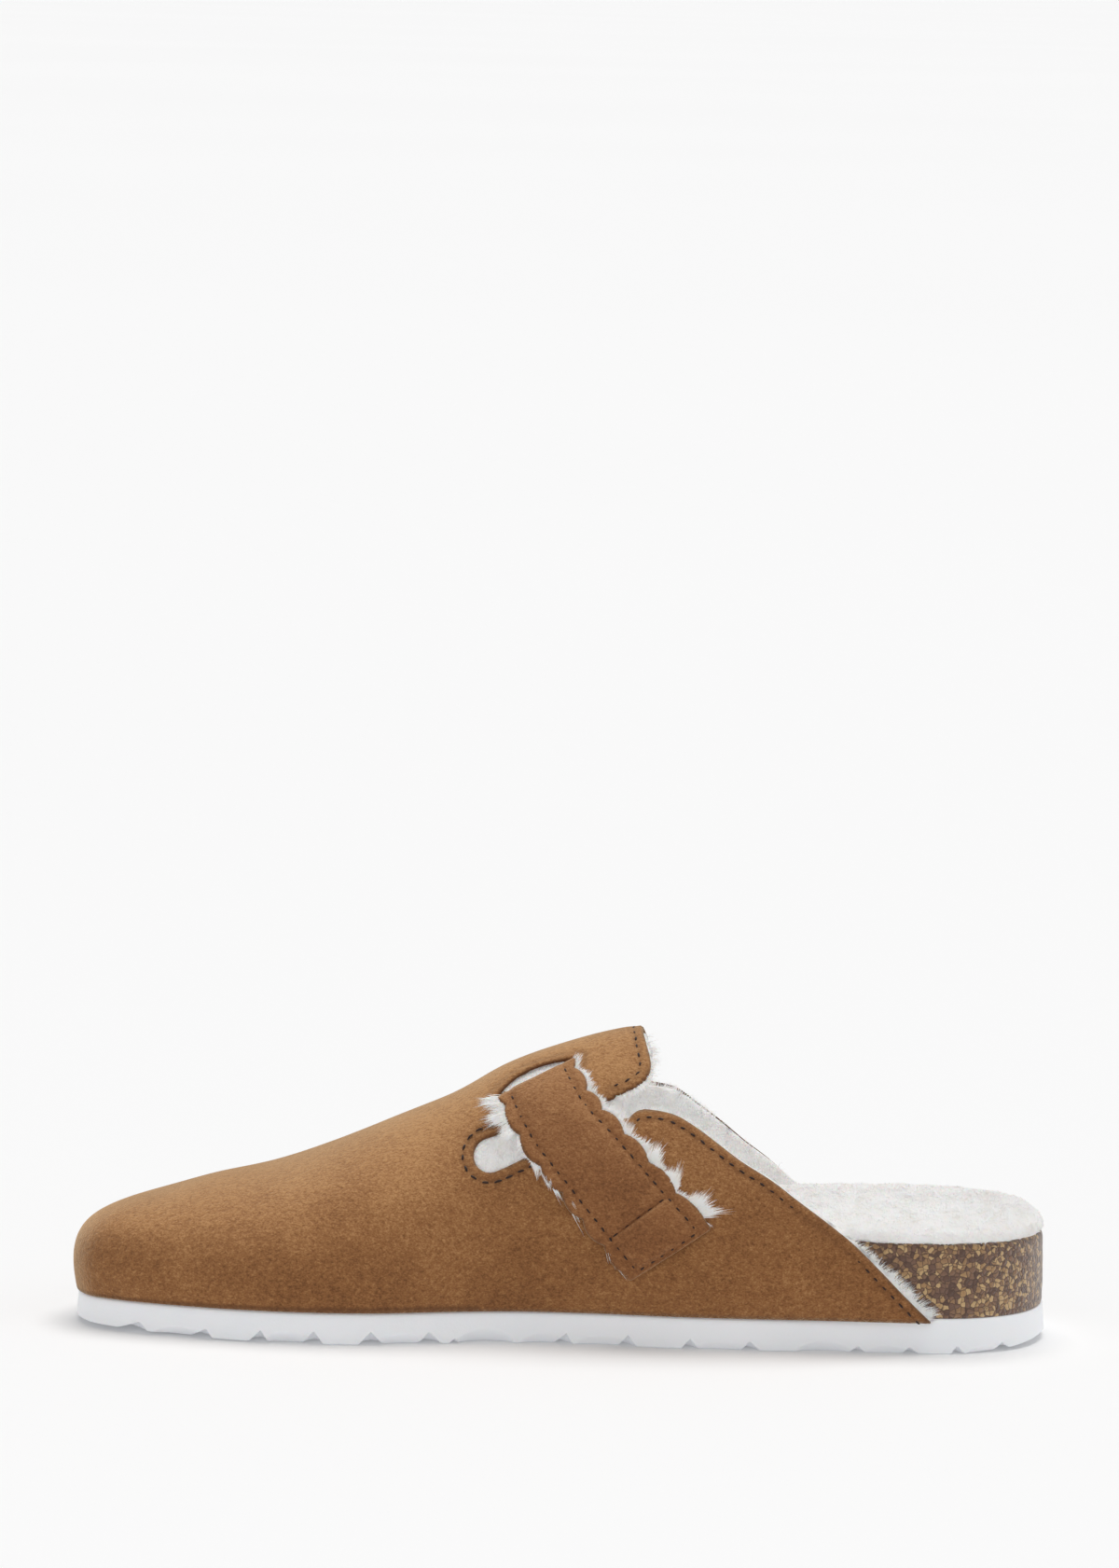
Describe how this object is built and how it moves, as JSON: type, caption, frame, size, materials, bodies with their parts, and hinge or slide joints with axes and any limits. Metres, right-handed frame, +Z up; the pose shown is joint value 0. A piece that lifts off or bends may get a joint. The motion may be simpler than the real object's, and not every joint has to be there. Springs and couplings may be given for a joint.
{
  "type": "clog slipper",
  "caption": "Backless suede clog slipper with a fleece insole, a cork footbed, a grooved light outsole and a scalloped strap through slots in the tongue.",
  "frame": {"origin": "middle of the bounding box, on the floor under the sole", "axes": "+X along the shoe from toe to heel, +Y to the outer side of the foot, +Z up"},
  "size_m": [0.2642, 0.0934, 0.082],
  "materials": {
    "outsole": "white closed-cell foam rubber with a dull moulded skin",
    "footbed": "dark brown pressed cork with golden flecks",
    "insole": "white wool fleece pile",
    "upper": "tan brushed suede, soft nap",
    "strap": "tan brushed suede, soft nap"
  },
  "bodies": {
    "root": {"outsole": "outsole", "footbed": "footbed", "insole": "insole", "upper": "upper", "strap": "strap"}
  },
  "joints": []
}
